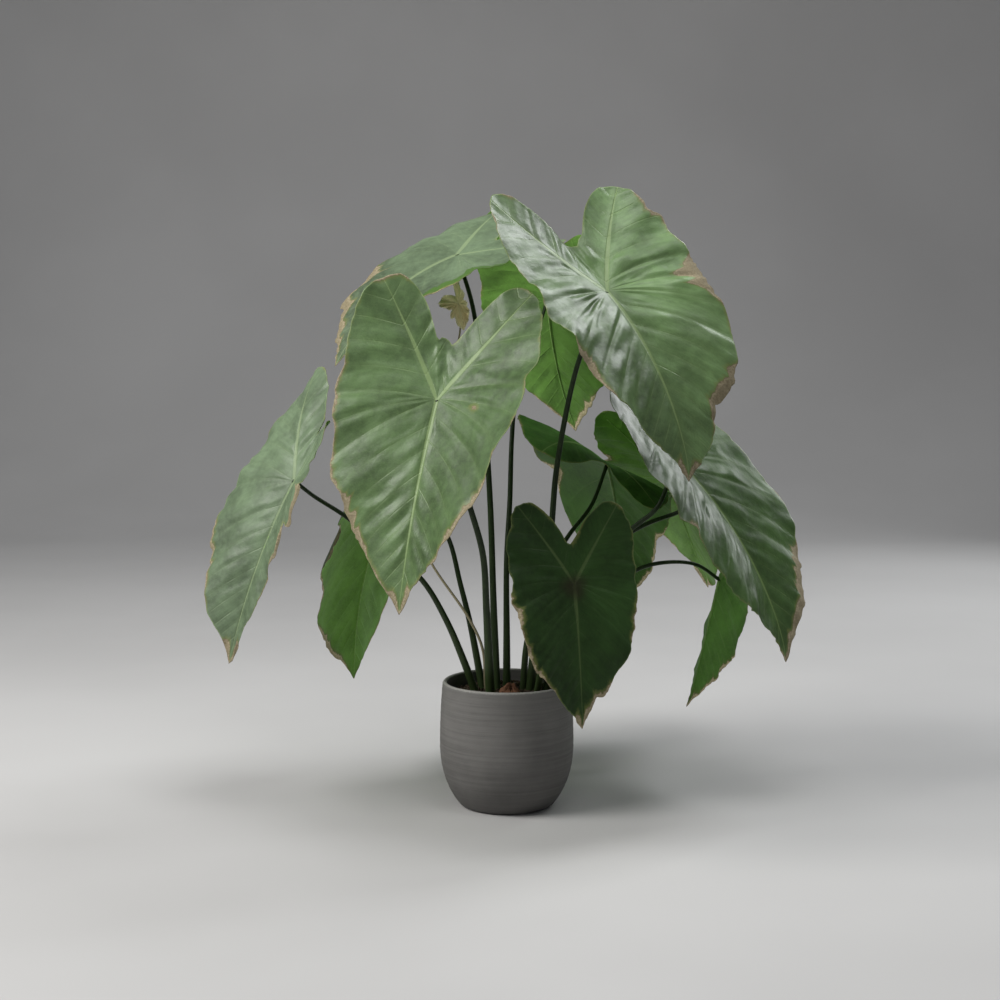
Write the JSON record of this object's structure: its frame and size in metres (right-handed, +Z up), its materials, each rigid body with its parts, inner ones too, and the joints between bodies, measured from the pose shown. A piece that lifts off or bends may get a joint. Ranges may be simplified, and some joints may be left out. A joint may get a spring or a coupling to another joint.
{
  "type": "potted elephant ear taro",
  "caption": "Aroid house plant with large drooping heart-shaped leaves on long arching stalks, growing from soil in a round matt ceramic pot.",
  "frame": {"origin": "centre of the pot's flat foot, on the surface that it stands on", "axes": "+Z up along the pot's axis, -Y towards the front as in the picture, +X to the right of the front view"},
  "size_m": [0.8945, 0.767, 0.9174],
  "materials": {
    "pot_ceramic": "matt",
    "soil": "rough granular earth",
    "dry_brown": "dry and fibrous",
    "leaf_green": "satin",
    "stalk_green": "satin",
    "dead_tan": "dry and papery"
  },
  "bodies": {
    "root": {"pot": "pot_ceramic", "soil": "soil", "old_leaf_base": "dry_brown", "blade_front_left": "leaf_green", "stalk_front_left": "stalk_green", "blade_top_right": "leaf_green", "stalk_top_right": "stalk_green", "blade_top_left": "leaf_green", "stalk_top_left": "stalk_green", "blade_far_left": "leaf_green", "stalk_far_left": "stalk_green", "blade_low_left": "leaf_green", "stalk_low_left": "stalk_green", "blade_back_top": "leaf_green", "stalk_back_top": "stalk_green", "blade_front_low": "leaf_green", "stalk_front_low": "stalk_green", "blade_far_right": "leaf_green", "stalk_far_right": "stalk_green", "blade_low_right": "leaf_green", "stalk_low_right": "stalk_green", "blade_back_right": "leaf_green", "stalk_back_right": "stalk_green", "blade_middle": "leaf_green", "stalk_middle": "stalk_green", "blade_dead": "dead_tan", "stalk_dead": "dead_tan"}
  },
  "joints": []
}
